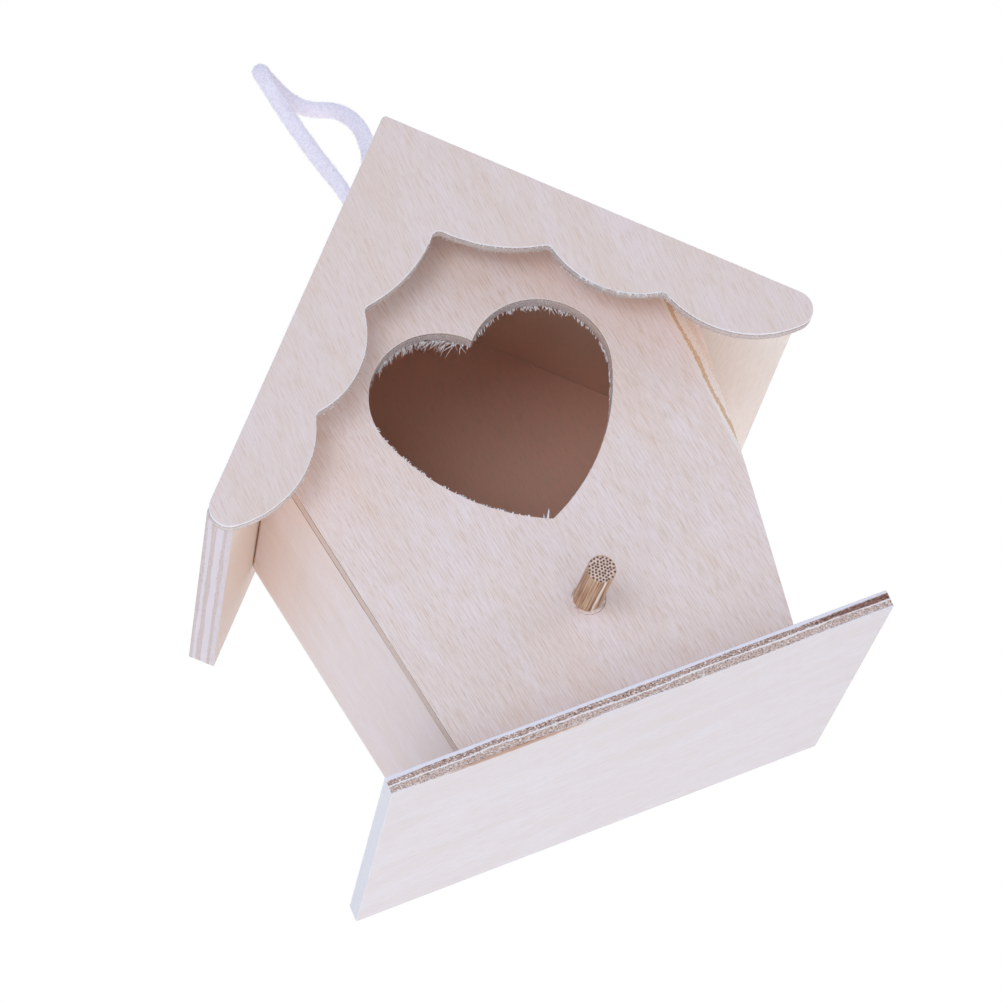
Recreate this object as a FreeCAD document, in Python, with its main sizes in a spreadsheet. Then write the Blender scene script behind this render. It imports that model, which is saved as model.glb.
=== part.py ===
import FreeCAD, Part
import math
import os
import re

import Sketcher

# A small plywood birdhouse, in millimetres. +Z is up, +Y runs from the front to the back.
# The origin is the centre of the floor board's underside, the face that the house stands on.

# Driving sizes: name, value, meaning. Lengths are in mm and angles in degrees.
SIZES = (
    ("base_width", 93.5, "floor board, left to right"),
    ("base_depth", 74.2, "floor board, front to back"),
    ("base_ply", 3.2, "floor board thickness"),
    ("porch_depth", 7.8, "floor board's front edge to the front panel's face"),
    ("body_width", 62.5, "house across its outer walls at floor level"),
    ("body_depth", 54.0, "front panel's face to the walls' back edges"),
    ("wall_lean", 8.67, "outward lean of both side walls"),
    ("wall_ply", 3.2, "side wall thickness"),
    ("front_ply", 3.2, "front panel thickness"),
    ("back_ply", 3.2, "back panel thickness"),
    ("wall_roof_gap", 0.4, "unglued gap between a side wall's top and the roof"),
    ("ridge_height", 116.0, "underside of the floor board to the ridge"),
    ("roof_pitch", 45.8, "slope of both roof panels above level"),
    ("roof_slope", 81.2, "ridge to eave along the slope"),
    ("roof_ply", 5.0, "roof panel thickness"),
    ("roof_length", 71.9, "roof panels, front to back"),
    ("roof_overhang", 7.9, "roof panels' front edge ahead of the front panel's face"),
    ("gable_ply", 2.3, "gable board thickness"),
    ("gable_reach", 83.4, "ridge to the gable board's round end along the slope"),
    ("gable_end_radius", 3.5, "round ends of the gable board"),
    ("gable_tip_radius", 0.8, "rounded tip at the ridge"),
    ("notch_drop", 23.5, "ridge down to the notch in the middle of the scallops"),
    ("upper_cusp_out", 17.7, "middle to the cusp between first and second scallop"),
    ("upper_cusp_drop", 33.4, "ridge down to that cusp"),
    ("lower_cusp_out", 33.0, "middle to the cusp between second and third scallop"),
    ("lower_cusp_drop", 48.8, "ridge down to that cusp"),
    ("upper_scallop_radius", 27.0, "scallop beside the notch"),
    ("middle_scallop_radius", 17.5, "scallop between the cusps"),
    ("lower_scallop_radius", 19.4, "scallop at the eave"),
    ("cusp_radius", 1.4, "rounding left by the cutter in the notch and cusps"),
    ("heart_offset", 0.4, "heart's middle line right of the house's"),
    ("heart_lobe_radius", 12.7, "round top of each half of the heart"),
    ("heart_lobe_spacing", 19.0, "between the centres of those two circles"),
    ("heart_lobe_height", 62.5, "floor to those two centres"),
    ("heart_side_radius", 39.0, "long sides of the heart"),
    ("heart_tip_height", 35.0, "floor to the heart's tip"),
    ("sanding_start", 31.8, "floor to where the front panel's right edge is sanded off"),
    ("sanding_tilt", 1.8, "lean of the sanded face's inner border towards the middle"),
    ("sanding_angle", 22.0, "how steeply the sanded face runs into the panel"),
    ("perch_diameter", 5.0, "bamboo rod"),
    ("perch_clearance", 0.2, "around the rod in its hole"),
    ("perch_height", 19.5, "floor to the rod's middle at the panel"),
    ("perch_projection", 15.9, "rod ahead of the front panel's face"),
    ("perch_inside", 1.0, "rod behind the front panel"),
    ("perch_droop", 3.2, "how far the rod hangs below level"),
    ("cord_diameter", 2.3, "hanging cord"),
    ("cord_hole_diameter", 5.6, "hole through the ridge for both legs of the cord"),
    ("knot_radius", 3.6, "overhand knot in both ends of the cord"),
    ("knot_flat", 2.5, "knot's middle up to where the two legs leave it"),
    ("knot_clearance", 0.3, "between the knot and the undersides of the roof"),
    ("knot_tail_spacing", 2.5, "between the middles of the two cut ends"),
    ("short_tail", 4.5, "cut end below the knot"),
    ("long_tail", 6.0, "other cut end below the knot"),
)

# Places worked out from the sizes, as formulas that the sketches are bound to.
FRONT_FACE = "(porch_depth - base_depth / 2)"
ROOF_FRONT = f"({FRONT_FACE} - roof_overhang)"
ROOF_MIDDLE = f"({ROOF_FRONT} + roof_length / 2)"
CEILING_RIDGE = "(ridge_height - roof_ply / cos(roof_pitch))"
WALL_ACROSS = "(wall_ply / cos(wall_lean))"

KNOT_MIDDLE = f"({CEILING_RIDGE} - (knot_radius + knot_clearance) / cos(roof_pitch))"
KNOT_TOP = f"({KNOT_MIDDLE} + knot_flat)"

# The cord leaves its knot, passes up through the ridge, folds over at the top of the loop and
# comes back down the same hole. These are the points that its path turns at, measured from
# where the middle of the hole meets the ridge line. From the first and the last of them the
# cord runs straight down into the knot.
CORD_ROUTE = (
    (-1.25, 0.0, 1.2),
    (-4.3, 2.0, 16.2),
    (-5.5, 4.0, 26.8),
    (-6.4, 6.0, 38.4),
    (-3.2, 14.0, 38.2),
    (-0.1, 13.0, 30.3),
    (6.6, 8.5, 25.7),
    (7.2, 3.0, 15.2),
    (1.25, 0.0, 1.2),
)
ARC_SHARE = 0.45  # of the shorter run beside a turn, taken by that turn's arc
VOLUME_TOLERANCE = 0.01  # share by which the cord's volume may differ from its section's run

START, END, CENTRE = 1, 2, 3  # a sketch edge's points, as Sketcher numbers them
ORIGIN = -1  # the sketch's own origin

doc = FreeCAD.newDocument("birdhouse")
sheet = doc.addObject("Spreadsheet::Sheet", "Sheet")


def fill_sheet():
    """Writes every driving size into the sheet, with its name as its alias."""
    for row, (alias, number, meaning) in enumerate(SIZES, start=1):
        sheet.set(f"A{row}", alias)
        sheet.set(f"B{row}", str(number))
        sheet.set(f"C{row}", meaning)
        sheet.setAlias(f"B{row}", alias)
    doc.recompute()


def bound(formula):
    """The formula with every size's name pointing at its cell in the sheet."""
    names = {alias for alias, _, _ in SIZES}
    return re.sub(r"[a-z_]+", lambda m: f"Sheet.{m[0]}" if m[0] in names else m[0], formula)


def worth(formula):
    """The formula's value at the sheet's present sizes."""
    result = sheet.evalExpression(bound(formula))
    return float(getattr(result, "Value", result))


def new_body(label):
    body = doc.addObject("PartDesign::Body", label)
    body.Label = label
    return body


def new_sketch(body, name, plane, offset="0"):
    """A sketch on one of the body's own origin planes, offset along that plane's normal."""
    sketch = body.newObject("Sketcher::SketchObject", name)
    support = next(p for p in body.Origin.OriginFeatures if p.Role == plane)
    sketch.AttachmentSupport = [(support, "")]
    sketch.MapMode = "FlatFace"
    sketch.setExpression("AttachmentOffset.Base.z", bound(offset))
    return sketch


def upright_sketch(body, name, y_formula):
    """A sketch in a plane that faces the front, at this Y. Its axes are X and Z."""
    return new_sketch(body, name, "XZ_Plane", f"-({y_formula})")


def bind_point(sketch, edge, point, across, up):
    """Ties a point of a sketch edge to two formulas, measured from the sketch's origin."""
    for kind, formula in (("DistanceX", across), ("DistanceY", up)):
        rule = Sketcher.Constraint(kind, ORIGIN, 1, edge, point, worth(formula))
        index = sketch.addConstraint(rule)
        sketch.setExpression(f"Constraints[{index}]", bound(formula))


def bind_radius(sketch, edge, formula):
    index = sketch.addConstraint(Sketcher.Constraint("Radius", edge, worth(formula)))
    sketch.setExpression(f"Constraints[{index}]", bound(formula))


def join(sketch, edge, point, other, other_point, kind="Coincident"):
    sketch.addConstraint(Sketcher.Constraint(kind, edge, point, other, other_point))


def draw_polygon(sketch, corners):
    """A closed outline of straight lines through corners, which are pairs of formulas."""
    points = [FreeCAD.Vector(worth(across), worth(up), 0) for across, up in corners]
    for index, point in enumerate(points):
        following = points[(index + 1) % len(points)]
        sketch.addGeometry(Part.LineSegment(point, following), False)
    for index, (across, up) in enumerate(corners):
        join(sketch, index - 1 if index else len(corners) - 1, END, index, START)
        bind_point(sketch, index, START, across, up)


def draw_circle(sketch, across, up, diameter):
    centre = FreeCAD.Vector(worth(across), worth(up), 0)
    circle = Part.Circle(centre, FreeCAD.Vector(0, 0, 1), worth(diameter) / 2)
    edge = sketch.addGeometry(circle, False)
    bind_point(sketch, edge, CENTRE, across, up)
    bind_radius(sketch, edge, f"({diameter}) / 2")


def draw_arc(sketch, centre, start, end):
    """An arc that runs anticlockwise round centre, from start to end. Returns its number."""
    circle = Part.Circle(centre, FreeCAD.Vector(0, 0, 1), (start - centre).Length)
    angles = [math.atan2(p.y - centre.y, p.x - centre.x) for p in (start, end)]
    return sketch.addGeometry(Part.ArcOfCircle(circle, *angles), False)


def meeting_point(centre, radius, other, other_radius, side):
    """Where two circles cross. side 1 is left of the way from centre to other, -1 is right."""
    apart = other - centre
    along = (apart.Length**2 + radius**2 - other_radius**2) / (2 * apart.Length)
    away = math.sqrt(radius**2 - along**2)
    ahead = apart / apart.Length
    return centre + ahead * along + FreeCAD.Vector(-ahead.y, ahead.x, 0) * away * side


def pad(body, sketch, thickness, backwards=False):
    """Thickens a sketch along its normal, or against it."""
    feature = body.newObject("PartDesign::Pad", f"{sketch.Name}_pad")
    feature.Profile = sketch
    feature.Reversed = backwards
    feature.setExpression("Length", bound(thickness))
    sketch.Visibility = False
    body.Tip = feature
    doc.recompute()
    return feature


def pocket(body, sketch, depth, outwards=False):
    """Cuts a sketch's outline into the body, against its normal unless outwards."""
    before = body.Shape.Volume
    feature = body.newObject("PartDesign::Pocket", f"{sketch.Name}_cut")
    feature.Profile = sketch
    feature.Reversed = outwards
    feature.setExpression("Length", bound(depth))
    body.Tip = feature
    doc.recompute()
    if body.Shape.Volume >= before:
        raise RuntimeError(f"{feature.Name} took nothing away from {body.Label}")
    return feature


def round_corners(body, places, radius):
    """Fillets the body's edges that run front to back at these places, which are (x, z)."""
    base = body.Tip
    chosen = []
    for number, edge in enumerate(base.Shape.Edges, start=1):
        first, last = edge.Vertexes[0].Point, edge.Vertexes[-1].Point
        runs_back = abs(first.x - last.x) < 1e-6 and abs(first.z - last.z) < 1e-6
        here = any(math.hypot(first.x - x, first.z - z) < 1e-3 for x, z in places)
        if runs_back and here and abs(first.y - last.y) > 1e-6:
            chosen.append(f"Edge{number}")
    if len(chosen) != len(places):
        raise RuntimeError(f"{body.Label}: {len(chosen)} corners found of {len(places)}")
    feature = body.newObject("PartDesign::Fillet", f"{body.Name}_{radius}_fillet")
    feature.Base = (base, chosen)
    feature.setExpression("Radius", bound(radius))
    body.Tip = feature
    doc.recompute()


def under_roof(half_width, gap="0"):
    """Where a line that leans like the walls, half_width out at the floor, meets the roof."""
    lean, slope = "tan(wall_lean)", "tan(roof_pitch)"
    ceiling = f"({CEILING_RIDGE} - {gap} / cos(roof_pitch))"
    across = f"(({half_width} + {lean} * ({ceiling} - base_ply)) / (1 + {lean} * {slope}))"
    return across, f"({ceiling} - {across} * {slope})"


def house_outline(half_width):
    """Five corners of a front or back panel: the floor, two leaning sides and the roof."""
    shoulder, shoulder_height = under_roof(half_width)
    return (
        (f"-{half_width}", "base_ply"),
        (half_width, "base_ply"),
        (shoulder, shoulder_height),
        ("0", CEILING_RIDGE),
        (f"-{shoulder}", shoulder_height),
    )


def make_base_board():
    body = new_body("base_board")
    sketch = new_sketch(body, "base_outline", "XY_Plane")
    side, back = "base_width / 2", "base_depth / 2"
    corners = ((f"-{side}", f"-{back}"), (side, f"-{back}"), (side, back), (f"-{side}", back))
    draw_polygon(sketch, corners)
    pad(body, sketch, "base_ply")
    return body


def draw_heart(sketch):
    """Two round lobes that meet in a cleft, and two long curves from them down to the tip."""
    middle, floor = "heart_offset", "base_ply"
    lobe_height = f"{floor} + heart_lobe_height"
    tip_height = f"{floor} + heart_tip_height"
    lobe_radius, side_radius = worth("heart_lobe_radius"), worth("heart_side_radius")
    tip = FreeCAD.Vector(worth(middle), worth(tip_height), 0)
    reach = FreeCAD.Vector(worth("heart_lobe_spacing") / 2, 0, 0)
    top = FreeCAD.Vector(worth(middle), worth(lobe_height), 0)
    cleft = meeting_point(top - reach, lobe_radius, top + reach, lobe_radius, 1)
    lobes, sides = [], []
    for hand in (1, -1):
        lobe = top + reach * hand
        inner = side_radius - lobe_radius
        side = meeting_point(tip, side_radius, lobe, inner, hand)
        touch = side + (lobe - side) / (lobe - side).Length * side_radius
        ends = (touch, cleft) if hand > 0 else (cleft, touch)
        side_ends = (tip, touch) if hand > 0 else (touch, tip)
        lobes.append(draw_arc(sketch, lobe, *ends))
        sides.append(draw_arc(sketch, side, *side_ends))
    join(sketch, lobes[0], END, lobes[1], START)
    join(sketch, lobes[0], START, sides[0], END, "Tangent")
    join(sketch, lobes[1], END, sides[1], START, "Tangent")
    join(sketch, sides[0], START, sides[1], END)
    bind_point(sketch, sides[0], START, middle, tip_height)
    for sign, lobe, side in zip("+-", lobes, sides):
        bind_point(sketch, lobe, CENTRE, f"{middle} {sign} heart_lobe_spacing / 2", lobe_height)
        bind_radius(sketch, lobe, "heart_lobe_radius")
        bind_radius(sketch, side, "heart_side_radius")


def sand_right_edge(body):
    """A sanded face that starts low on the front panel's right edge and widens upwards."""
    sketch = upright_sketch(body, "sanded_face", FRONT_FACE)
    lean = math.radians(worth("sanding_tilt"))
    border = FreeCAD.Vector(-math.sin(lean), math.cos(lean), 0)
    offset = sketch.AttachmentOffset
    offset.Rotation = FreeCAD.Rotation(border, worth("sanding_angle"))
    sketch.AttachmentOffset = offset
    start = "body_width / 2 + tan(wall_lean) * sanding_start"
    sketch.setExpression("AttachmentOffset.Base.x", bound(start))
    sketch.setExpression("AttachmentOffset.Base.y", bound("base_ply + sanding_start"))
    sketch.setExpression("AttachmentOffset.Rotation.Angle", bound("sanding_angle"))
    corners = (
        ("-wall_ply", "-sanding_start / 4"),
        ("body_width / 2", "-sanding_start / 4"),
        ("body_width / 2", "ridge_height"),
        ("-wall_ply", "ridge_height"),
    )
    draw_polygon(sketch, corners)
    pocket(body, sketch, "body_width / 4", outwards=True)


def make_front_panel():
    """The front covers both side walls' edges. It holds the heart entrance and the perch."""
    body = new_body("front_panel")
    outline = upright_sketch(body, "front_outline", FRONT_FACE)
    draw_polygon(outline, house_outline("(body_width / 2)"))
    pad(body, outline, "front_ply", backwards=True)
    sand_right_edge(body)
    heart = upright_sketch(body, "heart_outline", FRONT_FACE)
    draw_heart(heart)
    pocket(body, heart, "front_ply")
    hole = upright_sketch(body, "perch_hole", FRONT_FACE)
    draw_circle(hole, "0", "base_ply + perch_height", "perch_diameter + 2 * perch_clearance")
    pocket(body, hole, "front_ply")
    return body


def make_back_panel():
    """The back fits between the side walls, flush with their back edges."""
    body = new_body("back_panel")
    sketch = upright_sketch(body, "back_outline", f"{FRONT_FACE} + body_depth - back_ply")
    draw_polygon(sketch, house_outline(f"(body_width / 2 - {WALL_ACROSS})"))
    pad(body, sketch, "back_ply", backwards=True)
    return body


def make_side_wall(label, sign):
    """A leaning wall behind the front panel, its top cut to the slope of the roof."""
    body = new_body(label)
    sketch = upright_sketch(body, f"{label}_section", f"{FRONT_FACE} + front_ply")
    outer, inner = "(body_width / 2)", f"(body_width / 2 - {WALL_ACROSS})"
    outer_top, inner_top = under_roof(outer, "wall_roof_gap"), under_roof(inner, "wall_roof_gap")
    corners = ((outer, "base_ply"), outer_top, inner_top, (inner, "base_ply"))
    draw_polygon(sketch, [(f"{sign}{across}", up) for across, up in corners])
    pad(body, sketch, "body_depth - front_ply", backwards=True)
    return body


def roof_corners(sign):
    """The ridge, the eave's two corners and the lap joint in one roof panel's section."""
    run, rise = "cos(roof_pitch)", "sin(roof_pitch)"
    eave = (f"(roof_slope * {run})", f"ridge_height - roof_slope * {rise}")
    under_eave = (
        f"(roof_slope * {run} - roof_ply * {rise})",
        f"ridge_height - roof_slope * {rise} - roof_ply * {run}",
    )
    lap = (f"-roof_ply / (2 * {rise})", f"ridge_height - roof_ply / (2 * {run})")
    if sign > 0:
        return (("0", "ridge_height"), eave, under_eave, lap)
    outer, inner = ((f"-{across}", up) for across, up in (eave, under_eave))
    return (lap, outer, inner, ("0", CEILING_RIDGE))


def make_roof_panel(label, sign):
    """The right panel laps over the left one's top edge. Both share the hole for the cord."""
    body = new_body(label)
    section = upright_sketch(body, f"{label}_section", ROOF_FRONT)
    draw_polygon(section, roof_corners(sign))
    pad(body, section, "roof_length", backwards=True)
    hole = new_sketch(body, f"{label}_cord_hole", "XY_Plane", "ridge_height")
    draw_circle(hole, "0", ROOF_MIDDLE, "cord_hole_diameter")
    pocket(body, hole, "ridge_height / 4")
    return body


def scallop_places():
    """The notch and cusps as formulas: (out from the middle, height)."""
    return {
        "notch": ("0", "ridge_height - notch_drop"),
        "upper": ("upper_cusp_out", "ridge_height - upper_cusp_drop"),
        "lower": ("lower_cusp_out", "ridge_height - lower_cusp_drop"),
    }


def draw_gable_half(sketch, hand):
    """One slope of the gable board: its straight top, round end and three scallops.

    Returns the numbers of its straight top and of the scallop beside the notch."""
    mirror = "" if hand > 0 else "-"
    near, far = (START, END) if hand > 0 else (END, START)
    run, rise = "cos(roof_pitch)", "sin(roof_pitch)"
    straight = "(gable_reach - gable_end_radius)"
    top_end = (f"{mirror}{straight} * {run}", f"ridge_height - {straight} * {rise}")
    places = {name: (f"{mirror}({x})", z) for name, (x, z) in scallop_places().items()}
    spots = {name: FreeCAD.Vector(worth(x), worth(z), 0) for name, (x, z) in places.items()}
    apex = FreeCAD.Vector(0, worth("ridge_height"), 0)
    corner = FreeCAD.Vector(worth(top_end[0]), worth(top_end[1]), 0)
    slope = (corner - apex) / (corner - apex).Length
    end_radius, lower_radius = worth("gable_end_radius"), worth("lower_scallop_radius")
    end_centre = corner + FreeCAD.Vector(slope.y, -slope.x, 0) * end_radius * hand
    lower_centre = meeting_point(
        spots["lower"], lower_radius, end_centre, lower_radius - end_radius, hand
    )
    outward = (end_centre - lower_centre) / (end_centre - lower_centre).Length
    touch = lower_centre + outward * lower_radius

    def arc(centre, inner, outer):
        ends = (inner, outer) if hand > 0 else (outer, inner)
        return draw_arc(sketch, centre, *ends)

    def scallop(inner, outer, radius):
        size = worth(radius)
        return arc(meeting_point(inner, size, outer, size, hand), inner, outer)

    line = sketch.addGeometry(Part.LineSegment(apex, corner), False)
    end = arc(end_centre, touch, corner)
    lower = arc(lower_centre, spots["lower"], touch)
    middle = scallop(spots["upper"], spots["lower"], "middle_scallop_radius")
    upper = scallop(spots["notch"], spots["upper"], "upper_scallop_radius")
    bind_point(sketch, line, END, *top_end)
    join(sketch, line, END, end, far, "Tangent")
    join(sketch, end, near, lower, far, "Tangent")
    join(sketch, lower, near, middle, far)
    join(sketch, middle, near, upper, far)
    bind_point(sketch, lower, near, *places["lower"])
    bind_point(sketch, upper, far, *places["upper"])
    bind_radius(sketch, end, "gable_end_radius")
    bind_radius(sketch, lower, "lower_scallop_radius")
    bind_radius(sketch, middle, "middle_scallop_radius")
    bind_radius(sketch, upper, "upper_scallop_radius")
    return line, upper


def make_gable_board():
    """The scalloped board on the roof's front edges."""
    body = new_body("gable_board")
    sketch = upright_sketch(body, "gable_outline", f"{ROOF_FRONT} - gable_ply")
    right_top, right_scallop = draw_gable_half(sketch, 1)
    left_top, left_scallop = draw_gable_half(sketch, -1)
    join(sketch, right_top, START, left_top, START)
    join(sketch, right_scallop, START, left_scallop, END)
    bind_point(sketch, right_top, START, "0", "ridge_height")
    bind_point(sketch, right_scallop, START, *scallop_places()["notch"])
    pad(body, sketch, "gable_ply", backwards=True)
    places = [(worth(x), worth(z)) for x, z in scallop_places().values()]
    places += [(-x, z) for x, z in places if x > 0]
    round_corners(body, places, "cusp_radius")
    round_corners(body, [(0.0, worth("ridge_height"))], "gable_tip_radius")
    return body


def place(feature, x, y, z, axis=None, angle=None):
    """Binds a primitive's place, and its turn about axis, to formulas."""
    if axis is not None:
        placement = feature.Placement
        placement.Rotation = FreeCAD.Rotation(axis, worth(angle))
        feature.Placement = placement
        feature.setExpression("Placement.Rotation.Angle", bound(angle))
    for letter, formula in (("x", x), ("y", y), ("z", z)):
        feature.setExpression(f"Placement.Base.{letter}", bound(formula))


def make_perch():
    """A rod pushed through the front panel, drooping a little at its free end."""
    perch = doc.addObject("Part::Cylinder", "perch")
    behind = "(front_ply / 2 + perch_inside)"
    perch.setExpression("Radius", bound("perch_diameter / 2"))
    perch.setExpression("Height", bound(f"{behind} + front_ply / 2 + perch_projection"))
    inner_y = f"{FRONT_FACE} + front_ply / 2 + {behind} * cos(perch_droop)"
    inner_z = f"base_ply + perch_height + {behind} * sin(perch_droop)"
    place(perch, "0", inner_y, inner_z, FreeCAD.Vector(1, 0, 0), "90 + perch_droop")
    return perch


def cord_path():
    """Straight runs joined by tangent arcs through the route. Returns the wire and radii."""
    loop = [FreeCAD.Vector(*point) for point in CORD_ROUTE]
    into_knot = worth(f"{KNOT_TOP} - ridge_height")
    ends = [FreeCAD.Vector(point.x, point.y, into_knot) for point in (loop[0], loop[-1])]
    route = [ends[0], *loop, ends[1]]
    edges, radii = [], []
    reached = route[0]
    for before, turn, after in zip(route, route[1:], route[2:]):
        arriving, leaving = (turn - before), (after - turn)
        angle = arriving.getAngle(leaving)
        share = ARC_SHARE * min(arriving.Length, leaving.Length)
        radius = share / math.tan(angle / 2)
        first = turn - arriving / arriving.Length * share
        last = turn + leaving / leaving.Length * share
        inward = (leaving / leaving.Length - arriving / arriving.Length).normalize()
        middle = turn + inward * (radius / math.cos(angle / 2) - radius)
        edges.append(Part.LineSegment(reached, first).toShape())
        edges.append(Part.Arc(first, middle, last).toShape())
        radii.append(radius)
        reached = last
    edges.append(Part.LineSegment(reached, route[-1]).toShape())
    return Part.Wire(edges), radii


def make_hanging_cord():
    """One loop of soft cord, from the knot up through the ridge and back."""
    path, radii = cord_path()
    radius = worth("cord_diameter / 2")
    start = path.Edges[0].Vertexes[0].Point
    section = Part.Wire(Part.Circle(start, FreeCAD.Vector(0, 0, 1), radius).toShape())
    cord = doc.addObject("Part::Feature", "hanging_cord")
    cord.Shape = path.makePipeShell([section], True, True)
    place(cord, "0", ROOF_MIDDLE, "ridge_height")
    expected = math.pi * radius**2 * path.Length
    if abs(cord.Shape.Volume / expected - 1) > VOLUME_TOLERANCE:
        raise RuntimeError("the cord's volume isn't its section times its length")
    print(f"cord length {path.Length:.1f}, turn radii", [round(r, 1) for r in radii])
    return cord


def make_cord_knot():
    """The overhand knot that stops the cord under the ridge, with its two cut ends."""
    ball = doc.addObject("Part::Sphere", "knot_ball")
    ball.setExpression("Radius", bound("knot_radius"))
    ball.setExpression("Angle2", bound("asin(knot_flat / knot_radius)"))
    place(ball, "0", ROOF_MIDDLE, KNOT_MIDDLE)
    pieces = [ball]
    for name, sign, tail in (("left_tail", "-", "short_tail"), ("right_tail", "", "long_tail")):
        end = doc.addObject("Part::Cylinder", name)
        end.setExpression("Radius", bound("cord_diameter / 2"))
        end.setExpression("Height", bound(f"{tail} + knot_radius"))
        low = f"{KNOT_MIDDLE} - knot_radius - {tail}"
        place(end, f"{sign}knot_tail_spacing / 2", ROOF_MIDDLE, low)
        pieces.append(end)
    whole = doc.addObject("Part::MultiFuse", "cord_knot")
    whole.Shapes = pieces
    return whole


def check(parts):
    """Stops the build if any object failed or any sub-part isn't one valid solid."""
    for item in doc.Objects:
        if {"Invalid", "Error"} & set(item.State):
            raise RuntimeError(f"{item.Label} failed: {item.State}")
    for part in parts:
        shape = part.Shape
        if shape.isNull() or not shape.isValid() or len(shape.Solids) != 1:
            raise RuntimeError(f"{part.Label} isn't one valid solid")


def main():
    fill_sheet()
    parts = [
        make_base_board(),
        make_front_panel(),
        make_back_panel(),
        make_side_wall("left_wall", "-"),
        make_side_wall("right_wall", ""),
        make_roof_panel("left_roof_panel", -1),
        make_roof_panel("right_roof_panel", 1),
        make_gable_board(),
        make_perch(),
        make_hanging_cord(),
        make_cord_knot(),
    ]
    doc.recompute()
    check(parts)
    os.makedirs("parts", exist_ok=True)
    for part in parts:
        part.Shape.exportStep(f"parts/{part.Label}.step")
        box = part.Shape.BoundBox
        size = [round(x, 1) for x in (box.XLength, box.YLength, box.ZLength)]
        print(f"{part.Label}: {size} mm, {part.Shape.Volume / 1000:.2f} cm3")


main()
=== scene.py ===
"""The looks of a small unpainted plywood birdhouse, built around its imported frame.

Everything is in metres, +Z is up and the house faces -Y. The boards are the frame's own nodes.
They get their timber here, and what a saw and a sander leave on them. The perch, the cord and
its knot are modelled here in full.
"""

import logging
import math
import random
from collections.abc import Callable, Iterator, Sequence
from dataclasses import dataclass, field
from enum import Enum

import bpy
from mathutils import Matrix, Vector, noise


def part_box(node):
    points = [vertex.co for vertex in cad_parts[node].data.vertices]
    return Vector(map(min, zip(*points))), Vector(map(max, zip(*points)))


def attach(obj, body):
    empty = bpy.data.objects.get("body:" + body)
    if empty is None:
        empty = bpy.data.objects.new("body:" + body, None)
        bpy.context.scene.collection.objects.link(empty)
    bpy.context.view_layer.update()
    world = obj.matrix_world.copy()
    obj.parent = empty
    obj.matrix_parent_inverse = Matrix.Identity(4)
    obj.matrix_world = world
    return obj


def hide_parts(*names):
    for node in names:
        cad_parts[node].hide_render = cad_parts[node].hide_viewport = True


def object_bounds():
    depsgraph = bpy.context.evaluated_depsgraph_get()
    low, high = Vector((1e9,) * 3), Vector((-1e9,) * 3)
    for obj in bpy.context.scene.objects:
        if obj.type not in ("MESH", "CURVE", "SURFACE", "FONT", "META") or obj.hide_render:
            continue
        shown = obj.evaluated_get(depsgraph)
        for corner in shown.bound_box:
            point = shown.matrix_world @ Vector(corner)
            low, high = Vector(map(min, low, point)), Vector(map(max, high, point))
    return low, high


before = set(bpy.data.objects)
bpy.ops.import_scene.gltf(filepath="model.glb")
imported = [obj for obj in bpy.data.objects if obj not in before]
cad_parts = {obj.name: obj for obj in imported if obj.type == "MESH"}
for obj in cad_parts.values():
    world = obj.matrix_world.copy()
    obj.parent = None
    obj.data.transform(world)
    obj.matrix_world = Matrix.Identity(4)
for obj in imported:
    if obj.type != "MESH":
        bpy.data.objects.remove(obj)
cad_low, cad_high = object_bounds()

MM = 0.001
TURN = 2 * math.pi
HOUSE = "root"  # the one body, which every piece rides on
UP, BACK, RIGHT = Vector((0, 0, 1)), Vector((0, 1, 0)), Vector((1, 0, 0))
MIX_A, MIX_B, MIX_RESULT = 6, 7, 2  # the colour sockets of a Mix node
LIGHT_FLECK, DARK_SPECK = "#f3e6dc", "#5c3b33"  # torn cells in the end of a ply

Tree = bpy.types.NodeTree
Socket = bpy.types.NodeSocket
Place = tuple[float, float, float]

log = logging.getLogger("birdhouse")


def linear(hex_colour: str) -> tuple[float, float, float, float]:
    """Turns an sRGB colour into linear light.

    Args:
        hex_colour: such as "#e8ddd6".

    Returns:
        Red, green, blue and an alpha of 1.
    """
    channels = [int(hex_colour[i : i + 2], 16) / 255 for i in (1, 3, 5)]
    light = [c / 12.92 if c <= 0.04045 else ((c + 0.055) / 1.055) ** 2.4 for c in channels]
    return (*light, 1.0)


def add_node(
    tree: Tree,
    kind: str,
    inputs: Sequence[object] | dict[str | int, object] = (),
    stops: Sequence[tuple[float, str, float]] = (),
    **settings: object,
) -> bpy.types.Node:
    """Adds a shader node with its settings and links.

    Args:
        tree: the node tree that it goes into.
        kind: the node's type, such as "Math".
        inputs: values, or the output sockets that drive them, in order or by name or number.
        stops: for a colour ramp, each stop's position, hex colour and alpha, in order.
        settings: the node's own properties.

    Returns:
        The new node.
    """
    node = tree.nodes.new("ShaderNode" + kind)
    for name, value in settings.items():
        setattr(node, name, value)
    numbered = inputs if isinstance(inputs, dict) else dict(enumerate(inputs))
    for socket, value in numbered.items():
        if isinstance(value, Socket):
            tree.links.new(value, node.inputs[socket])
        else:
            node.inputs[socket].default_value = value
    for index, (position, colour, alpha) in enumerate(stops):
        elements = node.color_ramp.elements
        element = elements[index] if index < 2 else elements.new(position)
        element.position = position
        element.color = (*linear(colour)[:3], alpha)
    return node


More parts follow.
